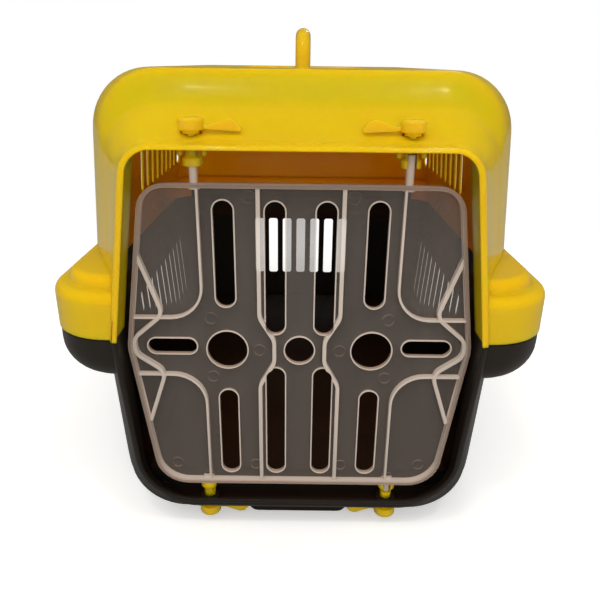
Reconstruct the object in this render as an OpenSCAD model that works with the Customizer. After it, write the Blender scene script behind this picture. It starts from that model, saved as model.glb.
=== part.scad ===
// Two-shell pet carrier with a lift-out grille door, four quarter-turn door latches,
// a folding roof handle and four side clips. Millimetres, +Z up, the door faces -Y.
// The origin is at the foot pads' level, under the middle of the body.
// Depths written y_... are measured backwards from the front lip.

/* [Body] */
// Depth of the body from the front lip to the back wall
body_len = 458; // [440:1:480]
// Half width of both shells where they meet, behind the flare
body_half_w = 165.5; // [163:0.5:167]
// Half width of both shells where they meet, at the front lip
lip_half_w = 123; // [121:0.5:124]
// Depth over which the body flares from the lip to its full width
flare_len = 130; // [110:1:150]
// Height of the joint between the two shells
seam_z = 165; // [163:1:167]
// Height of the roof
roof_z = 332; // [330:1:336]
// Wall thickness of both shells
wall = 2.4; // [2.2:0.1:2.8]

/* [Front frame] */
// Height of the upper lip's top edge
lip_top_z = 291; // [290:0.5:292]
// Height of the lower lip's bottom edge
lip_bottom_z = 24.5; // [24:0.5:26]
// How far the lower lip leans back at its bottom
lip_rake = 14; // [12:1:16]
// Depth of the straight jamb behind the lip
jamb_depth = 27; // [24:1:27]
// Width of the thick rim round the lip
rim_w = 4.4; // [3.5:0.1:4.5]

/* [Belt] */
// Half width of the belt along the body
belt_half_w = 171; // [170:0.5:172.5]
// Height of the belt's top
belt_top_z = 196; // [192:1:200]
// Height of the belt's underside
belt_bottom_z = 129; // [127:1:132]
// Depth of the belt's front face behind the lip
belt_front_y = 5; // [4:0.5:7]
// Radius of the belt's front corners, seen from above
belt_corner_r = 44; // [40:1:48]
// Height of the shoulder that rises from the belt at its front corners
shoulder_z = 205; // [202:0.5:207]

/* [Door] */
// Half width of the door at its top, middle and bottom corners
door_half_w = [102.1, 118.4, 103.3];
// Heights of the door's top edge, widest point and bottom edge
door_z = [265, 152, 38.5];
// Thickness of the door's sheet
door_sheet = 2.5; // [2:0.1:3]
// Depth of the door's edge flange
door_flange_depth = 8.5; // [7:0.5:9]
// Distance of the door's stubs from its middle
stub_x = 68; // [66:0.5:70]
// Depth of the door's stubs behind the lip
stub_y = 28; // [27:0.5:29]
// Diameter of the door's stubs
stub_d = 5.6; // [5.4:0.1:5.8]

/* [Latches] */
// Diameter of a latch lever's hub
hub_d = 16; // [15:0.5:17]
// Height of a latch lever's hub
hub_h = 9.5; // [9:0.5:10]
// Reach of a latch lever's wing from its axis
wing_reach = 32.5; // [30:0.5:34]
// Diameter of a latch lever's shaft
shaft_d = 5.6; // [5.2:0.1:6]
// Diameter of a latch cup's rim
cup_d = 13; // [12.5:0.5:13.5]

/* [Handle] */
// Distance between the handle's two legs
handle_span = 124; // [110:1:130]
// Thickness of the handle's bar
handle_d = 12; // [11:0.5:12.5]
// Height of the handle's top when it stands up
handle_top_z = 362; // [358:1:366]
// Height of the handle's pivots
handle_pivot_z = 324; // [323.5:0.5:324.5]

/* [Vents] */
// Spacing of the side vents
side_vent_pitch = 22.5; // [21:0.5:23]
// Spacing of the back vents
back_vent_pitch = 19; // [18:0.5:20]

/* [Side clips] */
// Depths of the side clips behind the lip
clip_ys = [172, 372];
// Width of a side clip
clip_w = 24; // [20:1:28]

/* [Hidden] */
$fn = 48;
yellow = [0.86, 0.70, 0.12];
black = [0.13, 0.12, 0.11];
clear = [0.78, 0.72, 0.70, 0.55];
belt_step = belt_half_w - body_half_w;
y0 = -(body_len + belt_step) / 2; // place of the front lip in the model's own frame
far = 600;                     // longer than any side of the body

rear_r = 32;                   // plan radius of the rear corners
rear_top_r = 26;               // radius of the roof's and the floor's rear edges
lip_lean = 0.14;               // inward lean of the upper walls at the lip
body_lean = 0.065;             // inward lean of the upper walls behind the flare
lower_lip_lean = 0.05;         // inward lean of the lower walls at the lip
lower_body_lean = 0.07;        // inward lean of the lower walls behind the flare
lip_corner_r = 20;             // upper corners of the lip
roof_corner_r = 45;            // edges along the roof
floor_lip_r = 43;              // lower corners of the lip
floor_corner_r = 32;           // edges along the floor
rim_depth = 4;                 // depth of the lip's rim
rim_r = 1.2;                   // rounding of its edges
shelf_rise = 20;               // rise of the shelf over the doorway
hood_rise = roof_z - lip_top_z - shelf_rise;
sill_z = 17.5;                 // underside of the sill, where the lower latches pass
keel_z = 4;                    // underside of the shell behind the sill
floor_z = 34;                  // top of the raised floor
floor_half_w = 118;
floor_ys = [46, 432];
belt_top_r = 7;
belt_bottom_r = 26;
lower_belt_inset = 0.8;        // how far the lower shell's belt stands back under the upper one's
shoulder_inset = 11;           // from the belt's outline to the shoulder's
shoulder_r = 8;

shelf_top_z = lip_top_z + 3.6; // top of the shelf at the latches
shelf_low_z = 290.4;           // underside of the shelf's bosses
lever_gap = 0.4;               // running gap under and over the levers
cup_h = 13.7;
cup_rim_h = 4.4;               // height of a cup's wide rim
cup_cone_h = 2;                // height of the cone between its stem and its rim
cup_stem_d = 8.6;
cup_floor = 4.2;               // thickness of a cup's closed end
cup_socket = 2.4;              // depth of the shaft's seat in it
cup_gap = 1;                   // from a shell to the closed end of its cup
cup_top_z = shelf_low_z - cup_gap;
cup_low_z = sill_z + wall + 3.8;
stub_gap = 1.6;                // from a cup's floor to the end of the door's stub
top_stub_end = cup_top_z - cup_floor - stub_gap;
low_stub_end = cup_low_z + cup_floor + stub_gap;
cup_bore_d = stub_d + 0.6;
cup_mouth = stub_d + 0.5;
bore_gap = 0.08;               // radial gap of the shafts in their holes

// ---------- rules of the body's form ----------
function clamp01(t) = min(max(t, 0), 1);
function smooth(t) = let (c = clamp01(t)) c * c * (3 - 2 * c);
function ease(t) = 0.5 * sin(90 * clamp01(t)) + 0.5 * smooth(t);
function mix(a, b, t) = a + (b - a) * t;
// Drop of a rounded rear edge of radius r at depth y, inside it by inset
function rear_drop(y, r, inset) =
  let (d = y - (body_len - r), q = r - inset) d <= 0 ? 0 : q - sqrt(max(q * q - d * d, 0));
function half_w(y, inset) =
  mix(lip_half_w, body_half_w, ease(y / flare_len)) - inset - rear_drop(y, rear_r, inset);
function upper_lean(y) = mix(lip_lean, body_lean, ease(y / flare_len));
function lower_lean(y) = mix(lower_lip_lean, lower_body_lean, ease(y / flare_len));
function roof(y, inset) =
  lip_top_z + shelf_rise * smooth((y - 16) / 44) + hood_rise * smooth((y - 52) / 20)
  - inset - rear_drop(y, rear_top_r, inset);
function keel(y, inset) =
  lip_bottom_z - (lip_bottom_z - sill_z) * smooth((y - 12) / 9)
  - (sill_z - keel_z) * smooth((y - 43) / 13) + inset + rear_drop(y, rear_top_r, inset);
function roof_r(y) = mix(lip_corner_r, roof_corner_r, smooth(y / 75));
function floor_r(y) = mix(floor_lip_r, floor_corner_r, smooth(y / 60));
// The lower lip leans back towards its bottom edge
function rake(z) = lip_rake * max(0, (seam_z - z) / (seam_z - lip_bottom_z));

CORNER_STEPS = 8;
// Right half of a section: from the joint's height up the wall, round the corner and
// over to the middle. up is 1 for the upper shell and -1 for the lower one.
function half_section(w, lean, edge_z, r, up, past) =
  let (
    lean_a = atan(lean),
    rise = abs(edge_z - seam_z),
    cz = rise - r,
    cx = w - lean * (cz + r * sin(lean_a)) - r * cos(lean_a)
  )
  concat(
    [[w, seam_z - up * past]],
    [for (i = [0:CORNER_STEPS])
      let (a = mix(lean_a, 90, i / CORNER_STEPS))
      [cx + r * cos(a), seam_z + up * (cz + r * sin(a))]],
    [[cx / 2, edge_z]]
  );
function full_section(half) =
  concat(half, [for (i = [len(half) - 1:-1:0]) [-half[i].x, half[i].y]]);
// Section at depth y, drawn in by inset
function upper_section(y, inset, past = 0) = full_section(half_section(
  half_w(y, inset), upper_lean(y), roof(y, inset), roof_r(y) - inset, 1, past));
// The lower one may take its underside from another depth
function lower_section(y, inset, past = 0, keel_y = undef) = full_section(half_section(
  half_w(y, inset), lower_lean(y), keel(is_undef(keel_y) ? y : keel_y, inset),
  floor_r(y) - inset, -1, past));
// The jamb keeps the lip's width behind it, inside the flare
function upper_jamb(y, inset, past = 0) = full_section(half_section(
  lip_half_w - inset, lip_lean, roof(y, inset), lip_corner_r - inset, 1, past));
function lower_jamb(y, inset, past = 0) = full_section(half_section(
  lip_half_w - inset, lower_lip_lean, keel(y, inset), floor_lip_r - inset, -1, past));
function at_depth(section, y) = [for (p = section) [p.x, y + y0, p.y]];
function at_lip(section, y) = [for (p = section) [p.x, y + y0 + rake(p.y), p.y]];

// Depths of the sections: close together where the form bends
FRONT_YS = [0, 8, 14, 18, 22, 28, 35, 43, 48, 52, 56, 60, 64, 68, 73, 82, 94, 108, 130];
REAR_STEPS = 5;
function rear_ys(r, end) =
  [for (i = [0:REAR_STEPS]) end - r + r * sin(90 * i / REAR_STEPS)];
// Depths of the rings behind the depth given, for a form drawn in by inset
function skin_ys(start, inset) =
  concat([for (y = FRONT_YS) if (y > start) y], rear_ys(rear_r, body_len - inset));

// Depth and inset of the rings round the lip. Outside they round its edge off, and
// inside they run round the rim and back to the wall.
RIM_EDGE = [for (a = [90, 45, 0]) rim_r * [1 - sin(a), 1 - cos(a)]];
function rim_rings(inset) = inset == 0 ? RIM_EDGE : concat(
  [[-2, rim_w - rim_r]],
  [for (e = RIM_EDGE) [e.x, rim_w - e.y]],
  [[rim_depth - 1, rim_w], [rim_depth + 1, inset]]);

// A closed solid through rings of equal length
module loft(rings) {
  n = len(rings[0]);
  last = len(rings) - 1;
  flip = cross(rings[0][1] - rings[0][0], rings[0][2] - rings[0][0])
    * (rings[1][0] - rings[0][0]) < 0;
  sides = [for (k = [0:last - 1], i = [0:n - 1])
    let (j = (i + 1) % n, a = k * n + i, b = k * n + j, c = b + n, d = a + n)
    each flip ? [[a, b, c], [a, c, d]] : [[c, b, a], [d, c, a]]];
  low = [for (i = [0:n - 1]) i];
  high = [for (i = [0:n - 1]) last * n + i];
  back = [for (i = [n - 1:-1:0]) i];
  back_high = [for (i = [n - 1:-1:0]) last * n + i];
  caps = flip ? [back, high] : [low, back_high];
  polyhedron([for (ring = rings) each ring], concat(caps, sides));
}

module upper_form(inset = 0, past = 0) {
  rim = rim_rings(inset);
  loft(concat(
    [for (e = rim) at_depth(upper_section(e.x, e.y, past), e.x)],
    [for (y = skin_ys(rim_depth + 1, inset)) at_depth(upper_section(y, inset, past), y)]));
}
module lower_form(inset = 0, past = 0) {
  rim = rim_rings(inset);
  last = rim[len(rim) - 1];
  loft(concat(
    [for (i = [0:len(rim) - 2]) at_lip(lower_section(rim[i].x, rim[i].y, past), rim[i].x)],
    [at_lip(lower_section(last.x, last.y, past, inset == 0 ? 0 : lip_rake + last.x), last.x)],
    [for (y = skin_ys(last.x + lip_rake + 2, inset)) at_depth(lower_section(y, inset, past), y)]));
}

// ---------- belt round the joint ----------
BELT_STEPS = 8;
// Right half of the belt's outline, seen from above, drawn in by inset
function belt_half(inset) = let (
  front = belt_front_y + inset,
  back = body_len + belt_step - inset,
  fr = belt_corner_r - inset,
  rr = rear_r - inset,
  w = belt_half_w - inset
) concat(
  [for (i = [0:BELT_STEPS]) let (a = 90 * i / BELT_STEPS)
    [w - fr + fr * sin(a), front + fr - fr * cos(a)]],
  [for (i = [0:BELT_STEPS]) let (a = 90 * i / BELT_STEPS)
    [w - rr + rr * cos(a), back - rr + rr * sin(a)]]
);
function belt_ring(inset, z) = let (h = belt_half(inset)) concat(
  [for (p = h) [p.x, p.y + y0, z]],
  [for (i = [len(h) - 1:-1:0]) [-h[i].x, h[i].y + y0, z]]);

// A band above the joint with a rounded top edge, drawn in by inset from the belt's outline
module raised_band(inset, top, r, past) {
  loft(concat(
    [belt_ring(inset, seam_z - past)],
    [for (i = [0:5]) let (a = 18 * i)
      belt_ring(inset + r * (1 - cos(a)), top - r + r * sin(a))]));
}
module upper_belt(inset = 0, past = 0) {
  raised_band(inset, belt_top_z - inset, belt_top_r - inset * 0.5, past);
  raised_band(shoulder_inset + inset, shoulder_z - inset, shoulder_r - inset * 0.5, past);
}
// Belt below the joint, with its big rounded lower edge
module lower_belt(inset = 0, past = 0) {
  low = belt_bottom_z + inset;
  r = belt_bottom_r - inset * 0.5;
  side = lower_belt_inset + inset;
  loft(concat(
    [for (i = [6:-1:0]) let (a = 15 * i)
      belt_ring(side + r * (1 - cos(a)), low + r - r * sin(a))],
    [belt_ring(side, seam_z + past)]));
}

JAMB_YS = [8, 14, 18, 22];
jamb_cover = 0.4;              // skin left outside the jamb where the two run together
module upper_jamb_wall() {
  difference() {
    loft([for (y = concat([1], JAMB_YS, [jamb_depth])) at_depth(upper_jamb(y, jamb_cover), y)]);
    loft([for (y = concat([0], JAMB_YS, [jamb_depth + 1]))
      at_depth(upper_jamb(y, wall - jamb_cover, 1), y)]);
  }
}
module lower_jamb_wall() {
  ys = [for (y = JAMB_YS) if (y > lip_rake + 2) y];
  difference() {
    loft(concat([at_lip(lower_jamb(0, jamb_cover), 1)],
      [for (y = concat(ys, [jamb_depth])) at_depth(lower_jamb(y, jamb_cover), y)]));
    loft(concat([at_lip(lower_jamb(0, wall - jamb_cover, 1), 0)],
      [for (y = concat(ys, [jamb_depth + 1]))
        at_depth(lower_jamb(y, wall - jamb_cover, 1), y)]));
  }
}

// ---------- vents ----------
// A slot with round ends, standing up, through the wall along Y
module slot_y(w, z_low, z_high, depth) {
  rotate([90, 0, 0]) linear_extrude(height = depth, center = true) {
    translate([-w / 2, z_low + w / 2]) square([w, z_high - z_low - w]);
    translate([0, z_low + w / 2]) circle(d = w);
    translate([0, z_high - w / 2]) circle(d = w);
  }
}
side_vent_w = 11.5;
back_vent_w = 12;
upper_side_count = 9;
lower_side_count = 10;
module upper_vents() {
  for (i = [0:upper_side_count - 1])
    translate([0, y0 + 252 + i * side_vent_pitch, 0])
      rotate([0, 0, 90]) slot_y(side_vent_w, 214, 282, far);
  for (i = [-3:3])
    translate([i * back_vent_pitch, y0 + body_len, 0])
      slot_y(back_vent_w, 229, 284, 30);
}
module lower_vents() {
  for (i = [0:lower_side_count - 1])
    translate([0, y0 + 217 + i * side_vent_pitch, 0])
      rotate([0, 0, 90])
        slot_y(side_vent_w, 120 - mix(24, 78, clamp01(i / 7)), 120, far);
  for (i = [-3:3])
    translate([i * back_vent_pitch, y0 + body_len, 0])
      slot_y(back_vent_w, 59, 137, 30);
}

// ---------- joint between the shells ----------
seam_step_z = 181;             // the joint's height across the back wall
seam_step_half_w = 149;
module back_step(gap = 0) {
  translate([-seam_step_half_w - gap, y0 + body_len - 36, seam_z - 1])
    cube([2 * (seam_step_half_w + gap), 60, seam_step_z - seam_z + 1 + gap]);
}
module upper_skin() {
  difference() {
    union() {
      upper_form();
      upper_belt();
    }
    upper_form(wall, 1);
    upper_belt(wall, 1);
  }
  upper_jamb_wall();
}

// ---------- handle recess ----------
recess_half_w = 52;
recess_half_l = handle_span / 2 + 12;
recess_floor_z = 316;
handle_y = y0 + 229;
module rounded_box(half_x, half_y, r, h) {
  linear_extrude(height = h) {
    square([2 * half_x, 2 * (half_y - r)], center = true);
    square([2 * (half_x - r), 2 * half_y], center = true);
    for (sx = [-1, 1], sy = [-1, 1])
      translate([sx * (half_x - r), sy * (half_y - r)]) circle(r);
  }
}
pivot_boss_r = 7;
trunnion_d = 7;
handle_eye_r = handle_d / 2 + 1;
handle_eye_w = handle_d - 1;
module handle_recess_body() {
  translate([0, handle_y, recess_floor_z - wall])
    rounded_box(recess_half_w + wall, recess_half_l + wall, 14 + wall, roof_z - 1 - recess_floor_z + wall);
}
module handle_recess_cut() {
  translate([0, handle_y, recess_floor_z])
    rounded_box(recess_half_w, recess_half_l, 14, 40);
}
// Two blocks in the recess's ends carry the handle's trunnions
module handle_bearings() {
  for (s = [-1, 1])
    translate([0, handle_y + s * (handle_span / 2 + 9.6), 0])
      rotate([90, 0, 0]) linear_extrude(height = 5.4, center = true) {
        translate([0, handle_pivot_z]) circle(pivot_boss_r);
        translate([-pivot_boss_r, recess_floor_z - 1])
          square([2 * pivot_boss_r, handle_pivot_z - recess_floor_z + 1]);
      }
}
module handle_bores() {
  for (s = [-1, 1])
    translate([0, handle_y + s * (handle_span / 2 + 9), handle_pivot_z])
      rotate([90, 0, 0]) cylinder(d = trunnion_d + 2 * bore_gap, h = 10, center = true);
}

// ---------- latches' seats on the shells ----------
latch_boss_d = hub_d + 7;
stop_x = 7.6;                  // two stops beside each upper cup's stem
stop_r = 2;
collar_d = 10.5;               // narrow foot of a lever's hub
collar_h = 2.2;
// Each boss fills the shelf's underside up to the shelf's own slope
module latch_bosses_top() {
  for (s = [-1, 1]) intersection() {
    translate([s * stub_x, y0 + stub_y, shelf_low_z]) cylinder(d = latch_boss_d, h = 20);
    translate([s * stub_x, y0 + stub_y, 0]) rotate([90, 0, 90])
      linear_extrude(height = latch_boss_d + 2, center = true)
        polygon(concat(
          [[-14, shelf_low_z - 1]],
          [for (d = [-14:4:14]) [d, roof(stub_y + d, 0.8)]],
          [[14, shelf_low_z - 1]]));
  }
  for (s = [-1, 1]) translate([s * stub_x, y0 + stub_y, 0]) {
    for (t = [-1, 1]) translate([t * stop_x, 0, shelf_low_z - 6]) {
      cylinder(r = stop_r, h = 8);
      sphere(r = stop_r);
    }
  }
}
module latch_bosses_bottom() {
  for (s = [-1, 1]) translate([s * stub_x, y0 + stub_y, sill_z])
    cylinder(d = 15, h = cup_low_z - 0.5 - sill_z);
}
module latch_holes() {
  for (s = [-1, 1]) translate([s * stub_x, y0 + stub_y, 0]) {
    translate([0, 0, shelf_low_z - 1])
      cylinder(d = shaft_d + 2 * bore_gap, h = 12);
    translate([0, 0, shelf_top_z]) cylinder(d = collar_d + 3, h = 10);
    translate([0, 0, shelf_top_z + collar_h]) cylinder(d = hub_d + 3, h = 10);
    translate([0, 0, sill_z - 4]) cylinder(d = shaft_d + 2 * bore_gap, h = 12);
  }
}

// ---------- side clips' seats on the shells ----------
clip_x = belt_half_w + 3.6;    // clip's pivot
clip_pivot_z = 148;
clip_pin_d = 3.6;
clip_gap = 0.4;
ear_w = 3.2;
catch_z = 184;                 // top of the catch on the upper shell
catch_half_w = clip_w / 2 - 2;
module clip_catches() {
  for (s = [-1, 1], y = clip_ys)
    translate([s * (belt_half_w - 0.4), y0 + y, 0]) rotate([90, 0, 0])
      linear_extrude(height = 2 * catch_half_w, center = true)
        polygon([[0, catch_z], [s * 2.2, catch_z], [s * 2.2, catch_z - 3.5], [0, catch_z - 7]]);
}
module clip_ears() {
  for (s = [-1, 1], y = clip_ys, e = [-1, 1])
    translate([s * clip_x, y0 + y + e * (clip_w / 2 + clip_gap + ear_w / 2), clip_pivot_z])
      rotate([90, 0, 0]) linear_extrude(height = ear_w, center = true) {
        circle(r = 3.8);
        translate([s < 0 ? 0 : -8, -3.8]) square([8, 7.6]);
      }
}
module clip_bores() {
  for (s = [-1, 1], y = clip_ys)
    translate([s * clip_x, y0 + y, clip_pivot_z]) rotate([90, 0, 0])
      cylinder(d = clip_pin_d + 2 * bore_gap, h = clip_w + 20, center = true);
}

// ---------- shells ----------
module top_shell() {
  color(yellow) difference() {
    union() {
      difference() {
        upper_skin();
        handle_recess_cut();
      }
      difference() {
        handle_recess_body();
        handle_recess_cut();
      }
      handle_bearings();
      latch_bosses_top();
      clip_catches();
    }
    back_step(0.2);
    upper_vents();
    handle_bores();
    latch_holes();
  }
}

module foot(half_x, half_y, h) {
  rounded_box(half_x, half_y, min(half_x, half_y) * 0.7, h);
}
module feet() {
  translate([0, y0 + 48, 0]) foot(39, 11.5, sill_z + 1);
  for (s = [-1, 1], y = [84, 384]) translate([s * 104, y0 + y, 0]) foot(26, 15, keel_z + 1.5);
}
module bottom_shell() {
  color(black) difference() {
    union() {
      difference() {
        union() {
          lower_form();
          lower_belt();
        }
        difference() {
          union() {
            lower_form(wall, 1);
            lower_belt(wall, 1);
          }
          translate([-floor_half_w, y0 + floor_ys[0], 0])
            cube([2 * floor_half_w, floor_ys[1] - floor_ys[0], floor_z]);
        }
      }
      lower_jamb_wall();
      intersection() {
        upper_skin();
        back_step();
      }
      feet();
      latch_bosses_bottom();
      clip_ears();
    }
    translate([-floor_half_w + wall, y0 + floor_ys[0] + wall + 11, -1])
      cube([2 * (floor_half_w - wall), floor_ys[1] - floor_ys[0] - 2 * wall - 11, floor_z - wall + 1]);
    lower_vents();
    latch_holes();
    clip_bores();
  }
}

// ---------- door ----------
door_back_y = stub_y + 1.6;            // rear face of the sheet
door_front_y = door_back_y - door_flange_depth;
rib_w = 2.6;
thin_rib_w = 1.6;
rib_depth = 4.2;                       // how far the ribs stand out of the sheet
bead_w = 0.9;
bead_depth = 1;
door_corner_r = [18, 30, 24];

// Points of a corner of the given radius at b, between a and c
function corner(a, b, c, r, steps = 8) = let (
  u = (a - b) / norm(a - b),
  v = (c - b) / norm(c - b),
  half = acos(u * v) / 2,
  reach = r / tan(half),
  bis = (u + v) / norm(u + v),
  o = b + bis * (r / sin(half)),
  p = b + u * reach - o,
  q = b + v * reach - o,
  a0 = atan2(p.y, p.x),
  turn = atan2(p.x * q.y - p.y * q.x, p * q)
) [for (i = [0:steps]) o + r * [cos(a0 + turn * i / steps), sin(a0 + turn * i / steps)]];

// A path through the given points with its inner corners rounded
function rounded_path(pts, r) = concat(
  [pts[0]],
  [for (i = [1:len(pts) - 2]) each corner(pts[i - 1], pts[i], pts[i + 1], r)],
  [pts[len(pts) - 1]]);

// Outline of a band of width w along a path
function band(path, w) = let (
  n = len(path),
  side = [for (i = [0:n - 1])
    let (d = path[min(i + 1, n - 1)] - path[max(i - 1, 0)], u = d / norm(d))
    [-u.y, u.x] * w / 2]
) concat(
  [for (i = [0:n - 1]) path[i] + side[i]],
  [for (i = [n - 1:-1:0]) path[i] - side[i]]);

function door_outline(inset = 0) = let (
  t = [door_half_w[0] - inset, door_z[0] - inset],
  m = [door_half_w[1] - inset, door_z[1]],
  b = [door_half_w[2] - inset, door_z[2] + inset],
  right = concat(
    corner([-t.x, t.y], t, m, door_corner_r[0] - inset),
    corner(t, m, b, door_corner_r[1]),
    corner(m, b, [-b.x, b.y], door_corner_r[2] - inset))
) concat(right, [for (i = [len(right) - 1:-1:0]) [-right[i].x, right[i].y]]);

module door_plate(y_front, y_back) {
  translate([0, y0 + y_back, 0]) rotate([90, 0, 0])
    linear_extrude(height = y_back - y_front) children();
}
module stadium(x, z_low, z_high, w) {
  translate([x - w / 2, z_low + w / 2]) square([w, z_high - z_low - w]);
  translate([x, z_low + w / 2]) circle(d = w);
  translate([x, z_high - w / 2]) circle(d = w);
}
module flat_stadium(x_low, x_high, z, w) {
  translate([x_low + w / 2, z - w / 2]) square([x_high - x_low - w, w]);
  translate([x_low + w / 2, z]) circle(d = w);
  translate([x_high - w / 2, z]) circle(d = w);
}
slot_w = 13.2;
// All openings in the door, each grown by grow
module door_openings(grow = 0) {
  circle_z = 148.5;
  translate([0, circle_z]) circle(r = 10.2 + grow);
  for (s = [-1, 1]) {
    stadium(s * 50.3, 181 - grow, 254 + grow, slot_w + 2 * grow);
    stadium(s * 16.7, 161 - grow, 253.5 + grow, slot_w + 2 * grow);
    stadium(s * 50.5, 45.5 - grow, 116.5 + grow, slot_w + 2 * grow);
    stadium(s * 16.6, 45.5 - grow, 134.5 + grow, slot_w + 2 * grow);
    translate([s * 50.3, circle_z]) circle(r = 14 + grow);
    flat_stadium(s > 0 ? 71.5 - grow : -105.5 - grow, s > 0 ? 105.5 + grow : -71.5 + grow,
      151, 11.5 + 2 * grow);
  }
}
inner_rib = [[27.5, 262], [27.5, 174], [17.4, 157], [17.4, 140], [27.5, 122], [27.5, 42]];
upper_rib = [[66, 262], [66, 173.5], [113.5, 173.5]];
lower_rib = [[114, 130], [66, 130], [66, 42]];
side_rib = [[107.5, 218], [93, 176], [114, 158], [114, 146], [94, 132], [107.5, 92]];
module door_ribs() {
  polygon(band(rounded_path(inner_rib, 12), rib_w));
  polygon(band(rounded_path(side_rib, 9), rib_w));
  polygon(band(rounded_path(upper_rib, 22), thin_rib_w));
  polygon(band(rounded_path(lower_rib, 23), thin_rib_w));
}
// Faint rings left by the mould's ejector pins
ejector_marks = [[91, 251], [34, 256], [61, 172], [61, 127], [28, 148], [32, 52], [91, 53]];
mark_r = 4.4;
module ejector_mark() {
  difference() {
    cylinder(r = mark_r, h = 0.5);
    translate([0, 0, -1]) cylinder(r = mark_r - 0.7, h = 2);
  }
}
module door_stubs() {
  for (s = [-1, 1]) translate([s * stub_x, y0 + stub_y, 0]) {
    translate([0, 0, door_z[0] - 4]) cylinder(d = stub_d, h = top_stub_end - door_z[0] + 4);
    translate([0, 0, low_stub_end]) cylinder(d = stub_d, h = door_z[2] + 4 - low_stub_end);
    translate([0, 0, door_z[0] - 4]) cylinder(d = 8, h = 4);
    translate([0, 0, door_z[2]]) cylinder(d = 8, h = 4);
  }
}
module door() {
  color(clear) {
    difference() {
      union() {
        door_plate(door_back_y - door_sheet, door_back_y) polygon(door_outline());
        difference() {
          door_plate(door_front_y, door_back_y - door_sheet / 2) polygon(door_outline());
          door_plate(door_front_y - 1, door_back_y) polygon(door_outline(2.4));
        }
        door_plate(door_back_y - door_sheet - rib_depth, door_back_y - door_sheet / 2) {
          door_ribs();
          mirror([1, 0]) door_ribs();
        }
        door_plate(door_back_y - door_sheet - bead_depth, door_back_y - door_sheet / 2)
          door_openings(bead_w);
        door_stubs();
      }
      door_plate(door_front_y - 1, door_back_y + 1) door_openings();
    }
    for (s = [-1, 1], p = ejector_marks)
      translate([s * p.x, y0 + door_back_y - door_sheet + 0.2, p.y]) rotate([90, 0, 0])
        ejector_mark();
  }
}

// ---------- latches ----------
// Lever in its own frame: shaft along Z, hub on top of z = 0, wing along +X
wing_t = 3;
// Outline of the wing, from the hub along its lower edge, round the tip and over its hump
function wing_outline() = let (
  foot = [hub_d / 2 + 1, 2.7],
  tip = [wing_reach, 1.2],
  hump = [wing_reach - 7, hub_h + 0.9],
  neck = [hub_d / 2 + 4, 5.4],
  root = [4, 5.4]
) concat([[4, 2.7], foot], corner(foot, tip, hump, 1.6), corner(tip, hump, neck, 6),
  corner(hump, neck, root, 10), [root]);
module lever(shaft_low) {
  hub_r = hub_d / 2;
  edge_r = 2;
  translate([0, 0, shaft_low]) cylinder(d = shaft_d, h = -shaft_low + 1);
  rotate_extrude() polygon(concat(
    [[0, 0], [collar_d / 2, 0], [collar_d / 2, collar_h], [hub_r, collar_h]],
    [for (a = [0:22.5:90]) [hub_r - edge_r + edge_r * cos(a), hub_h - edge_r + edge_r * sin(a)]],
    [[0, hub_h]]));
  rotate([90, 0, 0]) linear_extrude(height = wing_t, center = true) polygon(wing_outline());
}
// Cup in its own frame: its mouth along +X, its closed end on top at z = 0
module cup() {
  rim_top = cup_rim_h - cup_h;
  stem_low = rim_top + cup_cone_h;
  difference() {
    union() {
      translate([0, 0, stem_low]) cylinder(d = cup_stem_d, h = -stem_low);
      translate([0, 0, rim_top]) cylinder(d1 = cup_d, d2 = cup_stem_d, h = cup_cone_h);
      translate([0, 0, -cup_h]) cylinder(d = cup_d, h = cup_rim_h);
    }
    translate([0, 0, -cup_h - 1]) cylinder(d = cup_bore_d, h = cup_h - cup_floor + 1);
    translate([0, -cup_mouth / 2, -cup_h - 1]) cube([cup_d, cup_mouth, cup_h - cup_floor + 1]);
    translate([0, 0, -cup_socket]) cylinder(d = shaft_d, h = 4);
  }
}
function wing_turn(side) = side < 0 ? 0 : 180;
// The right-hand cups sit on their shafts a quarter turn on, with the mouth to the front
function mouth_turn(side) = side < 0 ? 0 : 270;
module latch_lever(side, up) {
  seat = up > 0 ? shelf_top_z + lever_gap : sill_z - lever_gap;
  shaft_end = up > 0 ? cup_top_z - cup_socket : cup_low_z + cup_socket;
  color(yellow) translate([side * stub_x, y0 + stub_y, seat])
    mirror([0, 0, up > 0 ? 0 : 1]) rotate([0, 0, wing_turn(side)])
      lever(up > 0 ? shaft_end - seat : seat - shaft_end);
}
module latch_cup(side, up) {
  color(yellow) translate([side * stub_x, y0 + stub_y, up > 0 ? cup_top_z : cup_low_z])
    mirror([0, 0, up > 0 ? 0 : 1]) rotate([0, 0, mouth_turn(side)]) cup();
}

// ---------- handle ----------
module handle() {
  r = handle_d / 2;
  bend = 16;
  top = handle_top_z - r;
  color(yellow) translate([0, handle_y, 0]) {
    rotate([90, 0, 0]) translate([0, top, 0])
      cylinder(r = r, h = handle_span - 2 * bend, center = true);
    for (s = [-1, 1]) {
      translate([0, s * (handle_span / 2 - bend), top - bend]) rotate([0, 90, 0])
        rotate([0, 0, s > 0 ? 90 : -180]) rotate_extrude(angle = 90) translate([bend, 0]) circle(r);
      translate([0, s * handle_span / 2, handle_pivot_z])
        cylinder(r = r, h = top - bend - handle_pivot_z);
      translate([0, s * handle_span / 2, handle_pivot_z]) rotate([90, 0, 0])
        cylinder(r = handle_eye_r, h = handle_eye_w, center = true);
      translate([0, s * (handle_span / 2 + 6), handle_pivot_z]) rotate([90, 0, 0])
        cylinder(d = trunnion_d, h = 11, center = true);
    }
  }
}

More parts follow.
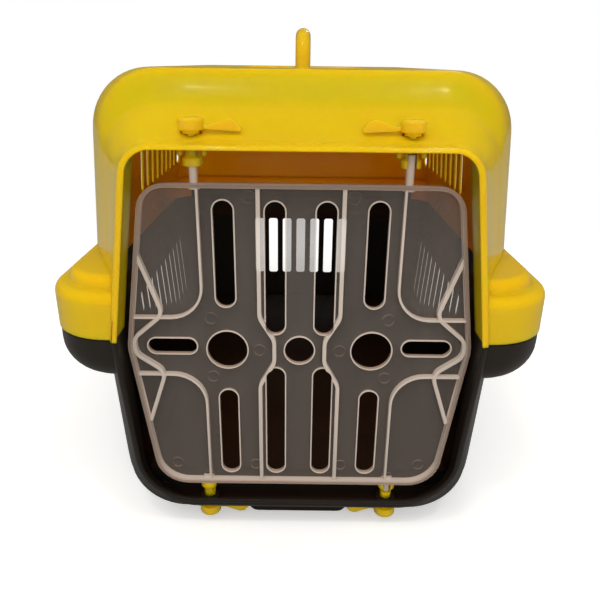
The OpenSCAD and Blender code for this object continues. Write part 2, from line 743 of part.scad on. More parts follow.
// ---------- side clips ----------
// Clip in its own frame: pivot along Y at the origin, hook to -X, plate on the +X side
clip_plate_t = 2.6;
module clip() {
  hook_low = catch_z + 0.3 - clip_pivot_z;
  inner = catch_z - clip_pivot_z;
  x_in = belt_half_w + 2.2 - clip_x;
  rotate([90, 0, 0]) linear_extrude(height = clip_w, center = true) {
    circle(r = 3.2);
    polygon([[-1.2, 0], [3.2, 0], [x_in + clip_plate_t, 12], [x_in + clip_plate_t, hook_low + 3],
      [x_in + clip_plate_t + 2.4, hook_low + 9], [x_in + clip_plate_t + 0.8, hook_low + 9.6],
      [x_in - 0.4, hook_low + 4.4], [x_in - 1.9, hook_low + 3.4], [x_in - 1.9, hook_low],
      [x_in + 0.4, hook_low], [x_in + 0.4, 12]]);
  }
  rotate([90, 0, 0]) cylinder(d = clip_pin_d, h = clip_w + 2 * (clip_gap + ear_w), center = true);
}
module side_clip(side, y) {
  color(yellow) translate([side * clip_x, y0 + y, clip_pivot_z])
    rotate([0, 0, side > 0 ? 0 : 180]) clip();
}

top_shell();
bottom_shell();
door();
handle();
latch_lever(-1, 1);  // latch_lever_top_left
latch_lever(1, 1);  // latch_lever_top_right
latch_lever(-1, -1);  // latch_lever_bottom_left
latch_lever(1, -1);  // latch_lever_bottom_right
latch_cup(-1, 1);  // latch_cup_top_left
latch_cup(1, 1);  // latch_cup_top_right
latch_cup(-1, -1);  // latch_cup_bottom_left
latch_cup(1, -1);  // latch_cup_bottom_right
side_clip(-1, clip_ys[0]);  // clip_front_left
side_clip(1, clip_ys[0]);  // clip_front_right
side_clip(-1, clip_ys[1]);  // clip_rear_left
side_clip(1, clip_ys[1]);  // clip_rear_right
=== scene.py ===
"""Dressed model of a two-shell pet carrier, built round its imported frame.

Lengths are millimetres in the carrier's own terms: y runs back from the front lip, z runs up
from the ground, and x runs to the right of someone who faces the door. Meshes are in metres.
"""

import logging
import math
from collections.abc import Callable, Iterable, Sequence
from dataclasses import dataclass, field
from enum import Enum

import bmesh
import bpy
from mathutils import Matrix, Vector


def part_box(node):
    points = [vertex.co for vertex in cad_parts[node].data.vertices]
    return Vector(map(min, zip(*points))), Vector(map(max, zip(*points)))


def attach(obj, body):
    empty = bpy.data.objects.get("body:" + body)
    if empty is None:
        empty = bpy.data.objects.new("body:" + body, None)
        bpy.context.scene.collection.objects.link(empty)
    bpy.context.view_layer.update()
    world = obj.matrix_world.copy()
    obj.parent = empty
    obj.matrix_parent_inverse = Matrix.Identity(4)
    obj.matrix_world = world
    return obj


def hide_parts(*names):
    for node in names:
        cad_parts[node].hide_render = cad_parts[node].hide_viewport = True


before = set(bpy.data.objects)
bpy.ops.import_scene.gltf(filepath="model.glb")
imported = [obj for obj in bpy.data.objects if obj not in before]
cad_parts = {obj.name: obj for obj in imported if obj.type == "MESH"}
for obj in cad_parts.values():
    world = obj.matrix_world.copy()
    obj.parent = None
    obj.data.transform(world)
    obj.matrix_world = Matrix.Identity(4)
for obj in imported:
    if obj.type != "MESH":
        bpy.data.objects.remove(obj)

LOG = logging.getLogger("carrier")
MM = 0.001
FAR = 600.0  # longer than any side of the body, in mm
WELD_REACH = 0.00002  # corners closer together than this become one, in metres
CATCH_REACH = 1.8  # how far the clips' catches stand out of the belt
DOOR_BACK = 1.6  # from the axis of the door's stubs to the back of its sheet
DOOR_SHEET = 2.5  # thickness of the door's sheet
SIDES = (-1, 1)

Point = tuple[float, float, float]
Flat = tuple[float, float]
Colour = tuple[float, float, float]
Socket = bpy.types.NodeSocket


class Slot(Enum):
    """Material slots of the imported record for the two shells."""

    YELLOW_SHELL = "yellow_shell"
    BLACK_SHELL = "black_shell"


class Half(Enum):
    """Which of the two shells a form belongs to; the value is the way it runs from the joint."""

    UPPER = 1
    LOWER = -1


# ---------- small rules ----------
def clamp01(t: float) -> float:
    """Return t held between 0 and 1."""
    return min(max(t, 0.0), 1.0)


def smooth(t: float) -> float:
    """Return the smooth step of t."""
    c = clamp01(t)
    return c * c * (3 - 2 * c)


def bend(y: float, run: Flat) -> float:
    """Return how far a bend has gone at depth y; its run is a start and a length."""
    return smooth((y - run[0]) / run[1])


def ease(t: float) -> float:
    """Return the flare's rule: a quick start and a soft end."""
    return 0.5 * math.sin(math.pi / 2 * clamp01(t)) + 0.5 * smooth(t)


def mix(a: float, b: float, t: float) -> float:
    """Return the value t of the way from a to b."""
    return a + (b - a) * t


def steps(start: float, end: float, count: int) -> list[float]:
    """Return count + 1 even steps from start to end."""
    return [mix(start, end, i / count) for i in range(count + 1)]


@dataclass(frozen=True)
class BodyForm:
    """Rules of the shells' form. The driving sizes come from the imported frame's boxes."""

    front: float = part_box("top_shell")[0].y / MM
    half_width: float = 165.5
    belt_half_width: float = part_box("top_shell")[1].x / MM - CATCH_REACH
    roof_z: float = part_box("top_shell")[1].z / MM
    length: float = 458.0
    lip_half_width: float = 123.0
    flare_length: float = 130.0
    seam_z: float = 165.0
    lip_top_z: float = 291.0
    lip_bottom_z: float = 24.5
    lip_rake: float = 14.0
    sill_z: float = 17.5
    keel_z: float = 4.0
    wall: float = 2.4
    jamb_depth: float = 27.0
    jamb_cover: float = 0.4
    shelf_rise: float = 20.0
    shelf_run: Flat = (16.0, 44.0)
    hood_run: Flat = (52.0, 20.0)
    sill_run: Flat = (12.0, 9.0)
    keel_run: Flat = (43.0, 13.0)
    bends_end: float = 80.0
    rear_r: float = 32.0
    rear_top_r: float = 26.0
    lip_corner_r: float = 20.0
    roof_corner_r: float = 45.0
    roof_corner_run: float = 75.0
    floor_lip_r: float = 43.0
    floor_corner_r: float = 32.0
    floor_corner_run: float = 60.0
    rim_w: float = 4.4
    rim_depth: float = 4.0
    rim_r: float = 1.4
    rim_outer_r: float = 2.8
    rim_top_share: float = 0.65
    rim_steps: int = 7
    mouth: float = 2.0
    upper_leans: Flat = (0.14, 0.065)
    lower_leans: Flat = (0.05, 0.07)
    corner_steps: int = 14
    wall_steps: int = 7
    top_shares: Flat = (0.66, 0.33)

    def rear_drop(self, y: float, r: float, inset: float) -> float:
        """Return how far a rounded rear edge has fallen away.

        Args:
            y: Depth behind the front lip.
            r: Radius of the edge.
            inset: How far the form is drawn in.

        Returns:
            The fall at that depth.
        """
        d = y - (self.length - r)
        q = r - inset
        return 0.0 if d <= 0 else q - math.sqrt(max(q * q - d * d, 0.0))

    def half_w(self, y: float, inset: float) -> float:
        """Return the half width at the joint, drawn in by inset."""
        w = mix(self.lip_half_width, self.half_width, ease(y / self.flare_length))
        return w - inset - self.rear_drop(y, self.rear_r, inset)

    def lean(self, y: float, half: Half) -> float:
        """Return the walls' inward lean at depth y."""
        low, high = self.upper_leans if half is Half.UPPER else self.lower_leans
        return mix(low, high, ease(y / self.flare_length))

    def roof(self, y: float, inset: float) -> float:
        """Return the height of the upper shell's top.

        Args:
            y: Depth behind the front lip.
            inset: How far the form is drawn in.

        Returns:
            The height over the shelf, the hood or the rear edge.
        """
        hood = self.roof_z - self.lip_top_z - self.shelf_rise
        rise = self.shelf_rise * bend(y, self.shelf_run) + hood * bend(y, self.hood_run)
        return self.lip_top_z + rise - inset - self.rear_drop(y, self.rear_top_r, inset)

    def keel(self, y: float, inset: float) -> float:
        """Return the height of the lower shell's underside.

        Args:
            y: Depth behind the front lip.
            inset: How far the form is drawn in.

        Returns:
            The height under the lip, the sill or the floor.
        """
        sill = (self.lip_bottom_z - self.sill_z) * bend(y, self.sill_run)
        step = (self.sill_z - self.keel_z) * bend(y, self.keel_run)
        return self.lip_bottom_z - sill - step + inset + self.rear_drop(y, self.rear_top_r, inset)

    def edge(self, y: float, inset: float, half: Half) -> float:
        """Return the roof's or the underside's height at depth y."""
        return self.roof(y, inset) if half is Half.UPPER else self.keel(y, inset)

    def corner_r(self, y: float, inset: float, half: Half) -> float:
        """Return the radius of the section's corner.

        Args:
            y: Depth behind the front lip.
            inset: How far the form is drawn in.
            half: The shell it belongs to.

        Returns:
            The radius at that depth.
        """
        if half is Half.LOWER:
            return mix(self.floor_lip_r, self.floor_corner_r, smooth(y / self.floor_corner_run)) - inset
        return mix(self.lip_corner_r, self.roof_corner_r, smooth(y / self.roof_corner_run)) - inset

    def rake(self, z: float) -> float:
        """Return how far the lower lip leans back at height z."""
        return self.lip_rake * max(0.0, (self.seam_z - z) / (self.seam_z - self.lip_bottom_z))

    def section(
        self,
        y: float,
        inset: float,
        half: Half,
        past: float = 0.0,
        jamb: bool = False,
        raked: bool = False,
        keel_y: float | None = None,
        lift: float = 0.0,
    ) -> list[Point]:
        """Return a closed section at depth y.

        Args:
            y: Depth behind the front lip.
            inset: How far the section is drawn in.
            half: The shell it belongs to.
            past: How far it runs past the joint.
            jamb: Whether it keeps the lip's width and lean.
            raked: Whether it leans back with the lower lip.
            keel_y: Another depth, from which the roof's or the underside's height is taken.
            lift: How far the roof stays above its inset.

        Returns:
            Points from the joint on the right over the middle to the joint on the left.
        """
        up = half.value
        w = self.lip_half_width - inset if jamb else self.half_w(y, inset)
        lean = self.lean(0.0 if jamb else y, half)
        r = self.corner_r(0.0 if jamb else y, inset, half)
        lean_a = math.atan(lean)
        cz = abs(self.edge(y if keel_y is None else keel_y, inset, half) - self.seam_z) - r + lift
        cx = w - lean * (cz + r * math.sin(lean_a)) - r * math.cos(lean_a)
        low = (w + lean * past, -past)
        high = (cx + r * math.cos(lean_a), cz + r * math.sin(lean_a))
        right = [
            (mix(low[0], high[0], t), mix(low[1], high[1], t))
            for t in steps(0, 1, self.wall_steps)
        ]
        for a in steps(lean_a, math.pi / 2, self.corner_steps)[1:]:
            right.append((cx + r * math.cos(a), cz + r * math.sin(a)))
        right += [(cx * t, cz + r) for t in self.top_shares]
        full = [(x, self.seam_z + up * z) for x, z in right + [(-x, z) for x, z in reversed(right)]]
        return [(x, self.front + y + (self.rake(z) if raked else 0.0), z) for x, z in full]

    def rim(self, inset: float) -> list[Flat]:
        """Return the rings round the lip's rim.

        Args:
            inset: 0 for the outside, or the wall's thickness for the inside.

        Returns:
            Depth and inset of each ring, from the front.
        """
        r = self.rim_r if inset else self.rim_outer_r
        turn = steps(math.pi / 2, 0, self.rim_steps)
        edge = [(r * (1 - math.sin(a)), r * (1 - math.cos(a))) for a in turn]
        if not inset:
            return edge
        inside = [(-self.mouth, self.rim_w - self.rim_r)] + [(y, self.rim_w - e) for y, e in edge]
        return inside + [(self.rim_depth - 1, self.rim_w), (self.rim_depth + 1, inset)]

    def skin(self, half: Half, inset: float, past: float) -> list[list[Point]]:
        """Return all sections of a shell's skin.

        Args:
            half: The shell.
            inset: 0 for the outside, or the wall's thickness for the inside.
            past: How far the sections run past the joint.

        Returns:
            The sections, from the lip to the back wall.
        """
        raked = half is Half.LOWER
        share = 1 - self.rim_top_share if inset and not raked else 0.0
        *rim, (last_y, last_inset) = self.rim(inset)
        keel_y = last_y + self.lip_rake if raked and inset else None
        start = last_y + (self.lip_rake + 2 if raked else 0.5)
        return (
            [self.section(y, e, half, past, raked=raked, lift=share * e) for y, e in rim]
            + [self.section(last_y, last_inset, half, past, raked=raked, keel_y=keel_y)]
            + [self.section(y, inset, half, past) for y in self.depths(start, inset)]
        )

    def depths(self, start: float, inset: float) -> list[float]:
        """Return the depths of the skin's sections, closer together where it bends.

        Args:
            start: Depth behind which they begin.
            inset: How far the form is drawn in.

        Returns:
            The depths, from front to back.
        """
        front = steps(0, self.bends_end, 26) + steps(self.bends_end + 6, self.flare_length, 8)
        body = steps(self.flare_length + 12, self.length - self.rear_r - 6, 14)
        end = self.length - inset
        turn = steps(0, math.pi / 2, 10)
        rear = [end - self.rear_r + self.rear_r * math.sin(a) for a in turn]
        return [y for y in front + body if y > start] + rear


@dataclass(frozen=True)
class BeltForm:
    """Rules of the belt round the joint, on both shells, with the upper one's shoulder."""

    form: BodyForm
    top_z: float = 196.0
    bottom_z: float = 129.0
    front_y: float = 5.0
    front_shares: Flat = (0.8, 0.9)
    corner_r: float = 44.0
    top_r: float = 7.0
    bottom_r: float = 26.0
    lower_inset: float = 0.8
    groove: float = 0.7
    groove_low: float = 1.0
    groove_end: float = 1.6
    shoulder_inset: float = 11.0
    shoulder_z: float = 205.0
    foot_r: float = 2.8

    def ring(self, inset: float, z: float) -> list[Point]:
        """Return the belt's outline seen from above.

        Args:
            inset: How far it is drawn in.
            z: Its height.

        Returns:
            Points from the front on the right round the back to the front on the left.
        """
        form = self.form
        front = self.front_y + inset
        back = form.length + form.belt_half_width - form.half_width - inset
        fr = self.corner_r - inset
        rr = form.rear_r - inset
        w = form.belt_half_width - inset
        turn = steps(0, math.pi / 2, 16)
        half = [((w - fr) * t, front) for t in self.front_shares]
        half += [(w - fr + fr * math.sin(a), front + fr - fr * math.cos(a)) for a in turn]
        half += [(w, y) for y in steps(front + fr, back - rr, 14)[1:-1]]
        half += [(w - rr + rr * math.cos(a), back - rr + rr * math.sin(a)) for a in turn]
        full = half + [(-x, y) for x, y in reversed(half)]
        return [(x, y + form.front, z) for x, y in full]

    def upper_profile(self, inset: float, past: float) -> list[Flat]:
        """Return the rings above the joint, over the belt's edge and the shoulder.

        Args:
            inset: How far the form is drawn in.
            past: How far it runs past the joint.

        Returns:
            Inset and height of each ring.
        """
        top = self.top_z - inset
        r = self.top_r - inset * 0.5
        turn = steps(0, math.pi / 2, 10)
        side = [(inset, z) for z in steps(self.form.seam_z - past, top - r, 3)[:-1]]
        edge = [(inset + r * (1 - math.cos(a)), top - r + r * math.sin(a)) for a in turn]
        step = self.shoulder_inset + inset
        f = self.foot_r
        foot = [(step - f * (1 - math.sin(a)), top + f * (1 - math.cos(a))) for a in turn]
        high = self.shoulder_z - inset
        s = high - top - f
        brow = [(step + s * (1 - math.cos(a)), high - s + s * math.sin(a)) for a in turn[1:]]
        return side + edge + foot + brow

    def lower_profile(self, inset: float, past: float) -> list[Flat]:
        """Return the rings below the joint, with the shadow groove under it.

        Args:
            inset: How far the form is drawn in; the inside has no groove.
            past: How far it runs past the joint.

        Returns:
            Inset and height of each ring.
        """
        seam = self.form.seam_z
        low = self.bottom_z + inset
        r = self.bottom_r - inset * 0.5
        side = self.lower_inset + inset
        deep = side + self.groove
        groove = [(deep, seam + past), (deep, seam - self.groove_low), (side, seam - self.groove_end)]
        start = [(side, seam + past)] if inset else groove
        turn = steps(0, math.pi / 2, 12)
        curve = [(side + r * (1 - math.cos(a)), low + r - r * math.sin(a)) for a in turn]
        return start + [(side, z) for z in steps(seam - 2, low + r, 3)[:-1]] + curve

    def rings(self, half: Half, inset: float = 0.0, past: float = 0.0) -> list[list[Point]]:
        """Return the rings of the belt's part on one shell, from the joint outwards."""
        profile = self.upper_profile if half is Half.UPPER else self.lower_profile
        return [self.ring(e, z) for e, z in profile(inset, past)]


FORM = BodyForm()
BELT = BeltForm(FORM)


# ---------- solids in mesh code ----------
class Solid:
    """A closed mesh that other solids can be joined to or cut out of."""

    def __init__(self, name: str, verts: Sequence[Point], faces: Sequence[Sequence[int]]) -> None:
        """Make the mesh object.

        Args:
            name: Name of the object.
            verts: Corner points in millimetres.
            faces: Corner numbers of each face.
        """
        mesh = bpy.data.meshes.new(name)
        mesh.from_pydata([tuple(c * MM for c in v) for v in verts], [], [list(f) for f in faces])
        bm = bmesh.new()
        bm.from_mesh(mesh)
        bmesh.ops.recalc_face_normals(bm, faces=bm.faces)
        bm.to_mesh(mesh)
        bm.free()
        self.obj = bpy.data.objects.new(name, mesh)
        bpy.context.scene.collection.objects.link(self.obj)

    @classmethod
    def loft(cls, rings: Sequence[Sequence[Point]], name: str = "loft") -> "Solid":
        """Return a closed solid through rings.

        Args:
            rings: Closed rings with equally many points.
            name: Name of the object.

        Returns:
            The solid, with its first and last ring as ends.
        """
        n = len(rings[0])
        verts = [p for ring in rings for p in ring]
        faces: list[list[int]] = [list(range(n)), list(range((len(rings) - 1) * n, len(rings) * n))]
        for k in range(len(rings) - 1):
            for i in range(n):
                j = (i + 1) % n
                faces.append([k * n + i, k * n + j, (k + 1) * n + j, (k + 1) * n + i])
        return cls(name, verts, faces)

    @classmethod
    def prism(
        cls,
        outline: Sequence[Flat],
        low: float,
        high: float,
        place: Callable[[float, float, float], Point],
    ) -> "Solid":
        """Return an outline drawn out from low to high.

        Args:
            outline: Closed outline.
            low: Start along the drawing direction.
            high: End along it.
            place: Turns outline x, outline y and the distance drawn into a point.

        Returns:
            The prism.
        """
        return cls.loft([[place(x, y, d) for x, y in outline] for d in (low, high)], "prism")

    def _boolean(self, operation: str, others: Iterable["Solid"]) -> "Solid":
        """Apply one boolean step with several solids, which are then removed.

        Args:
            operation: Blender's name of the step.
            others: The solids to join or to cut out.

        Returns:
            This solid, changed.
        """
        group = bpy.data.collections.new("operands")
        operands = list(others)
        for other in operands:
            group.objects.link(other.obj)
        step = self.obj.modifiers.new(operation.lower(), "BOOLEAN")
        step.operation = operation
        step.solver = "EXACT"
        step.operand_type = "COLLECTION"
        step.collection = group
        bpy.context.view_layer.update()
        view = self.obj.evaluated_get(bpy.context.evaluated_depsgraph_get())
        mesh = bpy.data.meshes.new_from_object(view)
        old = self.obj.data
        self.obj.modifiers.clear()
        self.obj.data = mesh
        bpy.data.meshes.remove(old)
        for other in operands:
            bpy.data.objects.remove(other.obj)
        bpy.data.collections.remove(group)
        return self

    def join(self, *others: "Solid") -> "Solid":
        """Join solids to this one."""
        return self._boolean("UNION", others)

    def cut(self, *others: "Solid") -> "Solid":
        """Cut solids out of this one."""
        return self._boolean("DIFFERENCE", others)


def arc(cx: float, cy: float, r: float, a0: float, a1: float, count: int = 8) -> list[Flat]:
    """Return points of an arc, its angles in degrees."""
    turn = [math.radians(a) for a in steps(a0, a1, count)]
    return [(cx + r * math.cos(a), cy + r * math.sin(a)) for a in turn]


def circle(cx: float, cy: float, r: float, count: int = 32) -> list[Flat]:
    """Return points of a circle."""
    return arc(cx, cy, r, 0, 360, count)[:-1]


def stadium(cx: float, low: float, high: float, w: float) -> list[Flat]:
    """Return the outline of a standing slot with round ends."""
    r = w / 2
    return arc(cx, high - r, r, 0, 180, 10) + arc(cx, low + r, r, 180, 360, 10)


def window(cx: float, low: float, high: float, w: float) -> list[Flat]:
    """Return the outline of a standing slot with square ends and round corners."""
    mid = (low + high) / 2
    return [(cx + x, y) for x, y in rounded_rect(w / 2, high - mid, w / 4, mid)]


def rounded_rect(half_x: float, half_y: float, r: float, cy: float = 0.0) -> list[Flat]:
    """Return the outline of a rectangle with round corners."""
    x, y = half_x - r, half_y - r
    return (
        arc(x, cy + y, r, 0, 90)
        + arc(-x, cy + y, r, 90, 180)
        + arc(-x, cy - y, r, 180, 270)
        + arc(x, cy - y, r, 270, 360)
    )


def along_x(u: float, v: float, d: float) -> Point:
    """Place an outline in depth and height, drawn out along x."""
    return (d, FORM.front + u, v)


def along_y(u: float, v: float, d: float) -> Point:
    """Place an outline in width and height, drawn out in depth."""
    return (u, FORM.front + d, v)


def along_z(u: float, v: float, d: float) -> Point:
    """Place an outline in width and depth, drawn out upwards."""
    return (u, FORM.front + v, d)


def post(x: float, y: float, r: float, low: float, high: float) -> Solid:
    """Return a standing round post."""
    return Solid.prism(circle(x, y, r), low, high, along_z)


def box(x: Flat, y: Flat, z: Flat) -> Solid:
    """Return a box between the given limits."""
    outline = [(x[0], y[0]), (x[1], y[0]), (x[1], y[1]), (x[0], y[1])]
    return Solid.prism(outline, z[0], z[1], along_z)


# ---------- finishes ----------
class NodeSheet:
    """A material's node tree with short ways to add what the finishes need."""

    def __init__(self, name: str) -> None:
        """Start a material with one Principled shader.

        Args:
            name: Name of the material.
        """
        self.material = bpy.data.materials.new(name)
        self.material.use_nodes = True
        self.tree = self.material.node_tree
        self.shader = self.tree.nodes["Principled BSDF"]
        self.place = self.add("ShaderNodeTexCoord").outputs["Object"]

    def add(self, kind: str, **settings: object) -> bpy.types.Node:
        """Add a node.

        Args:
            kind: Blender's name of the kind of node.
            **settings: Properties to set on it.

        Returns:
            The node.
        """
        node = self.tree.nodes.new(kind)
        for key, value in settings.items():
            setattr(node, key, value)
        return node

    def link(self, source: Socket, target: Socket) -> None:
        """Join an output to an input."""
        self.tree.links.new(source, target)

    def stretched(self, scale: Point) -> Socket:
        """Return the object's coordinates scaled.

        Args:
            scale: Factor along each axis.

        Returns:
            The scaled coordinates.
        """
        node = self.add("ShaderNodeMapping")
        node.inputs["Scale"].default_value = scale
        self.link(self.place, node.inputs["Vector"])
        return node.outputs["Vector"]

    def noise(self, scale: float, detail: float = 2.0, place: Socket | None = None) -> Socket:
        """Return a noise.

        Args:
            scale: Waves per metre.
            detail: How many finer layers it has.
            place: Coordinates, if not the object's own.

        Returns:
            The noise, from 0 to 1.
        """
        node = self.add("ShaderNodeTexNoise")
        node.inputs["Scale"].default_value = scale
        node.inputs["Detail"].default_value = detail
        self.link(place or self.place, node.inputs["Vector"])
        return node.outputs["Fac"]

    def ranged(self, value: Socket, source: Flat, target: Flat) -> Socket:
        """Return a value mapped from one range to another.

        Args:
            value: The value.
            source: Range that it comes from.
            target: Range that it goes to.

        Returns:
            The mapped value, held at the range's ends.
        """
        node = self.add("ShaderNodeMapRange")
        self.link(value, node.inputs["Value"])
        for key, number in zip(("From Min", "From Max", "To Min", "To Max"), source + target):
            node.inputs[key].default_value = number
        return node.outputs["Result"]

    def math(self, operation: str, a: Socket, b: Socket | float) -> Socket:
        """Return a sum, product or other operation.

        Args:
            operation: Blender's name of it.
            a: First value.
            b: Second value.

        Returns:
            The result.
        """
        node = self.add("ShaderNodeMath", operation=operation)
        self.link(a, node.inputs[0])
        if isinstance(b, (int, float)):
            node.inputs[1].default_value = b
        else:
            self.link(b, node.inputs[1])
        return node.outputs["Value"]

    def blend(self, share: Socket, a: Colour | Socket, b: Colour | Socket) -> Socket:
        """Return a colour between two others.

        Args:
            share: 0 for the first colour, 1 for the second.
            a: First colour.
            b: Second colour.

        Returns:
            The blended colour.
        """
        node = self.add("ShaderNodeMix", data_type="RGBA")
        self.link(share, node.inputs["Factor"])
        for key, colour in (("A", a), ("B", b)):
            if isinstance(colour, tuple):
                node.inputs[key].default_value = (*colour, 1)
            else:
                self.link(colour, node.inputs[key])
        return node.outputs["Result"]

    def rounded(self, radius: float, samples: int = 4) -> Socket:
        """Return the surface's normal with rounded edges.

        Args:
            radius: Radius of the edges in millimetres.
            samples: Rays that look for them.

        Returns:
            The normal.
        """
        node = self.add("ShaderNodeBevel", samples=samples)
        node.inputs["Radius"].default_value = radius * MM
        return node.outputs["Normal"]

    def own_normal(self) -> Socket:
        """Return the faces' normal in the piece's own axes, which turn with it.

        Returns:
            The normal.
        """
        turn = self.add(
            "ShaderNodeVectorTransform",
            vector_type="NORMAL",
            convert_from="WORLD",
            convert_to="OBJECT",
        )
        self.link(self.add("ShaderNodeNewGeometry").outputs["True Normal"], turn.inputs[0])
        return turn.outputs[0]

    def edges(self, radius: float) -> Socket:
        """Return a mask of the form's corners.

        Args:
            radius: How far it reaches from a corner, in millimetres.

        Returns:
            1 at the corners and 0 on flat faces.
        """
        dot = self.add("ShaderNodeVectorMath", operation="DOT_PRODUCT")
        self.link(self.rounded(radius, 6), dot.inputs[0])
        self.link(self.add("ShaderNodeNewGeometry").outputs["Normal"], dot.inputs[1])
        return self.ranged(dot.outputs["Value"], (0.995, 0.9), (0.0, 1.0))

    def bump(self, height: Socket, distance: float, base: Socket | None = None) -> None:
        """Raise the surface.

        Args:
            height: Height from 0 to 1.
            distance: What 1 stands for, in metres.
            base: Normal to start from, if not the surface's own.
        """
        node = self.add("ShaderNodeBump")
        node.inputs["Distance"].default_value = distance
        self.link(height, node.inputs["Height"])
        if base:
            self.link(base, node.inputs["Normal"])
        self.link(node.outputs["Normal"], self.shader.inputs["Normal"])


def tinted(colour: Colour, factor: float) -> Colour:
    """Return a colour made lighter or darker."""
    return tuple(min(c * factor, 1.0) for c in colour)


@dataclass(frozen=True)
class MouldedPlastic:
    """Opaque moulded plastic: even colour, a polished skin with faint waves and fine scuffs."""

    name: str
    colour: Colour
    roughness: float
    scuffs: float
    waves: float = 0.00022
    gloss: float = 0.3
    coat: float = 0.0
    coat_roughness: float = 0.07
    scatter: float = 0.0
    scatter_radius: Point = (1.0, 0.62, 0.05)
    scatter_scale: float = 0.0085
    soft_edge: float = 0.0
    tones: Flat = (0.95, 1.04)

    def material(self) -> bpy.types.Material:
        """Return the material, made once.

        Returns:
            The material.
        """
        if self.name in bpy.data.materials:
            return bpy.data.materials[self.name]
        sheet = NodeSheet(self.name)
        shader = sheet.shader
        tone = sheet.ranged(sheet.noise(9.0, 3.0), (0.3, 0.7), (0.0, 1.0))
        darker, lighter = (tinted(self.colour, t) for t in self.tones)
        sheet.link(sheet.blend(tone, darker, lighter), shader.inputs["Base Color"])
        rub = sheet.noise(38.0, 5.0, sheet.stretched((1.0, 1.0, 0.35)))
        worn = sheet.ranged(rub, (0.45, 0.75), (self.roughness, self.roughness + self.scuffs))
        sheet.link(worn, shader.inputs["Roughness"])
        soft = sheet.rounded(self.soft_edge) if self.soft_edge else None
        sheet.bump(sheet.noise(16.0, 1.0), self.waves, soft)
        shader.inputs["IOR"].default_value = 1.5
        shader.inputs["Specular IOR Level"].default_value = self.gloss
        shader.inputs["Coat Weight"].default_value = self.coat
        shader.inputs["Coat Roughness"].default_value = self.coat_roughness
        if self.scatter:
            shader.inputs["Subsurface Weight"].default_value = self.scatter
            shader.inputs["Subsurface Radius"].default_value = self.scatter_radius
            shader.inputs["Subsurface Scale"].default_value = self.scatter_scale
        return sheet.material


@dataclass(frozen=True)
class ClearPlastic:
    """Clear, slightly smoky plastic: the sheet is faint, and a painted highlight lies along its ribs
    and edges, where light gathers.
    """

    name: str
    sheet_colour: Colour
    side_colour: Colour
    # painted highlight: light colour and opacity of the rib fronts and corner lines
    rim_highlight_colour: Colour
    sheet_front: float
    raised: Flat = (0.0003, 0.0009)
    ribs: Flat = (0.0050, 0.0045)
    line_w: float = 0.45
    sheet_alpha: float = 0.36
    side_alpha: float = 0.7
    rim_highlight_alpha: float = 0.75

    def material(self) -> bpy.types.Material:
        """Return the material, made once.

        Returns:
            The material. Its masks go by how far a face stands out in front of the sheet, and
            by the way that it faces.
        """
        if self.name in bpy.data.materials:
            return bpy.data.materials[self.name]
        sheet = NodeSheet(self.name)
        shader = sheet.shader
        place = sheet.add("ShaderNodeSeparateXYZ")
        sheet.link(sheet.place, place.inputs[0])
        depth = place.outputs["Y"]
        front = self.sheet_front * MM
        raised = sheet.ranged(depth, tuple(front - d for d in self.raised), (0.0, 1.0))
        facing = sheet.add("ShaderNodeSeparateXYZ")
        sheet.link(sheet.own_normal(), facing.inputs[0])
        across = sheet.math("ABSOLUTE", facing.outputs["Y"], 0.0)
        side = sheet.ranged(across, (0.8, 0.4), (0.0, 1.0))
        rib = sheet.ranged(depth, tuple(front - d for d in self.ribs), (0.0, 1.0))
        # Painted highlight: rib fronts and corners standing in front of the sheet get the light rim
        # colour and more opacity, as lines where light gathers.
        line = sheet.math("MAXIMUM", rib, sheet.edges(self.line_w))
        rim = sheet.math("MULTIPLY", raised, line)
        side = sheet.math("MAXIMUM", side, sheet.math("MULTIPLY", raised, 0.5))
        # The lighter vertical streaks in the sheet's colour are a painted highlight; the same streaks
        # also vary its roughness and its bump.
        streaks = sheet.noise(22.0, 3.0, sheet.stretched((2.2, 1.0, 0.3)))
        haze_and_sheen = sheet.ranged(streaks, (0.35, 0.75), (0.0, 1.0))
        thin = sheet.blend(haze_and_sheen, self.sheet_colour, tinted(self.sheet_colour, 1.2))
        colour = sheet.blend(rim, sheet.blend(side, thin, self.side_colour), self.rim_highlight_colour)
        sheet.link(colour, shader.inputs["Base Color"])
        body = sheet.ranged(side, (0.0, 1.0), (self.sheet_alpha, self.side_alpha))
        whole = sheet.ranged(rim, (0.0, 1.0), (0.0, self.rim_highlight_alpha))
        sheet.link(sheet.math("MAXIMUM", body, whole), shader.inputs["Alpha"])
        sheet.link(sheet.ranged(haze_and_sheen, (0.0, 1.0), (0.12, 0.2)), shader.inputs["Roughness"])
        sheet.bump(streaks, 0.00005)
        shader.inputs["IOR"].default_value = 1.5
        shader.inputs["Specular IOR Level"].default_value = 0.4
        return sheet.material


YELLOW = MouldedPlastic(
    "yellow_gloss",
    (0.775, 0.463, 0.0065),
    roughness=0.3,
    scuffs=0.12,
    gloss=0.1,
    coat=0.35,
    scatter=1.0,
    soft_edge=1.2,
)
YELLOW_FITTING = MouldedPlastic(
    "yellow_fitting",
    (0.7, 0.462, 0.008),
    roughness=0.3,
    scuffs=0.12,
    waves=0.00008,
    gloss=0.1,
    coat=0.7,
    scatter=0.6,
)
BLACK = MouldedPlastic(
    "black_satin",
    (0.0155, 0.0118, 0.0088),
    roughness=0.36,
    scuffs=0.14,
    gloss=0.2,
    soft_edge=1.2,
)


